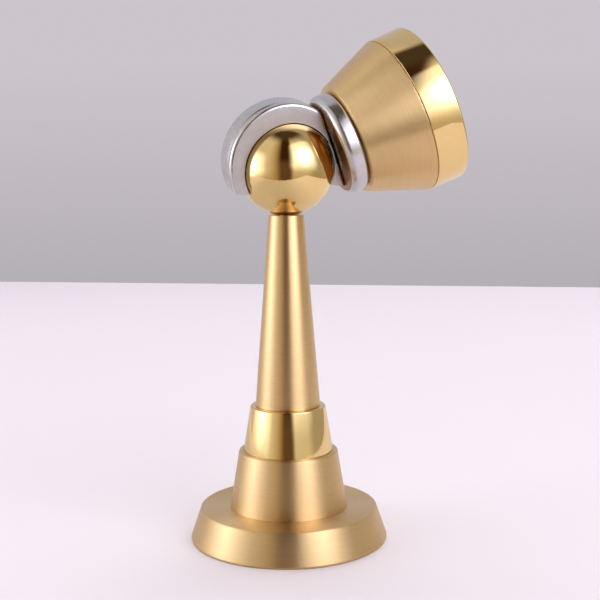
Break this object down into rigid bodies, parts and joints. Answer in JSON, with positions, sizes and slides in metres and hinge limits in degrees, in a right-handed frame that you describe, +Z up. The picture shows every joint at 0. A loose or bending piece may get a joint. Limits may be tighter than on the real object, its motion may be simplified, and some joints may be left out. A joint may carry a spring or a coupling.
{
  "type": "floor door holder",
  "caption": "Magnetic floor door holder: turned brass foot and tapered stem, a polished ball joint gripped by a split yoke, and a conical magnet head that tilts and swivels.",
  "frame": {"origin": "centre of the foot's underside, on the stem's axis", "axes": "+Z up along the stem; +X is the way the head points; -Y is the front, where the ball shows most"},
  "size_m": [0.0697, 0.05, 0.1282],
  "materials": {
    "brushed_brass": "brushed round the axis, clear lacquer",
    "polished_brass": "mirror polished, clear lacquer",
    "satin_nickel": "bead-blasted faces, polished rims",
    "zinc_steel": "bright zinc plate",
    "spring_steel": "black oxide",
    "magnet_nickel": "nickel plate",
    "spacer_plastic": "moulded",
    "rubber": "matt"
  },
  "bodies": {
    "foot": {"floor_plate": "zinc_steel", "base_flange": "brushed_brass", "base_grub_screw": "spring_steel", "lower_cone": "brushed_brass", "collar": "polished_brass", "stem": "brushed_brass", "tie_bolt": "zinc_steel", "tie_spring_washer": "spring_steel", "tie_washer": "zinc_steel"},
    "ball": {"ball": "polished_brass", "swivel_screw": "zinc_steel", "swivel_spring_lower": "spring_steel", "swivel_spring_upper": "spring_steel", "swivel_washer": "zinc_steel"},
    "yoke": {"front_cheek": "satin_nickel", "rear_cheek": "satin_nickel", "cheek_dowel_1": "spring_steel", "cheek_dowel_2": "spring_steel", "clamp_ring": "satin_nickel", "friction_washer": "spacer_plastic", "wave_washer": "spring_steel", "shank_nut": "zinc_steel"},
    "head": {"head_cone": "brushed_brass", "head_band": "polished_brass", "pole_cup": "zinc_steel", "magnet": "magnet_nickel", "magnet_ring": "spacer_plastic", "bumper_ring": "rubber"}
  },
  "joints": [
    {"name": "head_swivel", "type": "hinge", "parent": "foot", "child": "ball", "pos_m": [0, 0, 0.0942], "axis": [0, 0, 1], "continuous": true},
    {"name": "head_tilt", "type": "hinge", "parent": "ball", "child": "yoke", "pos_m": [0, 0, 0.0942], "axis": [0.0975, -0.9673, -0.2343], "range_deg": [-47, 38]},
    {"name": "head_spin", "type": "hinge", "parent": "yoke", "child": "head", "pos_m": [0, 0, 0.0942], "axis": [0.9232, 0, 0.3843], "continuous": true}
  ]
}
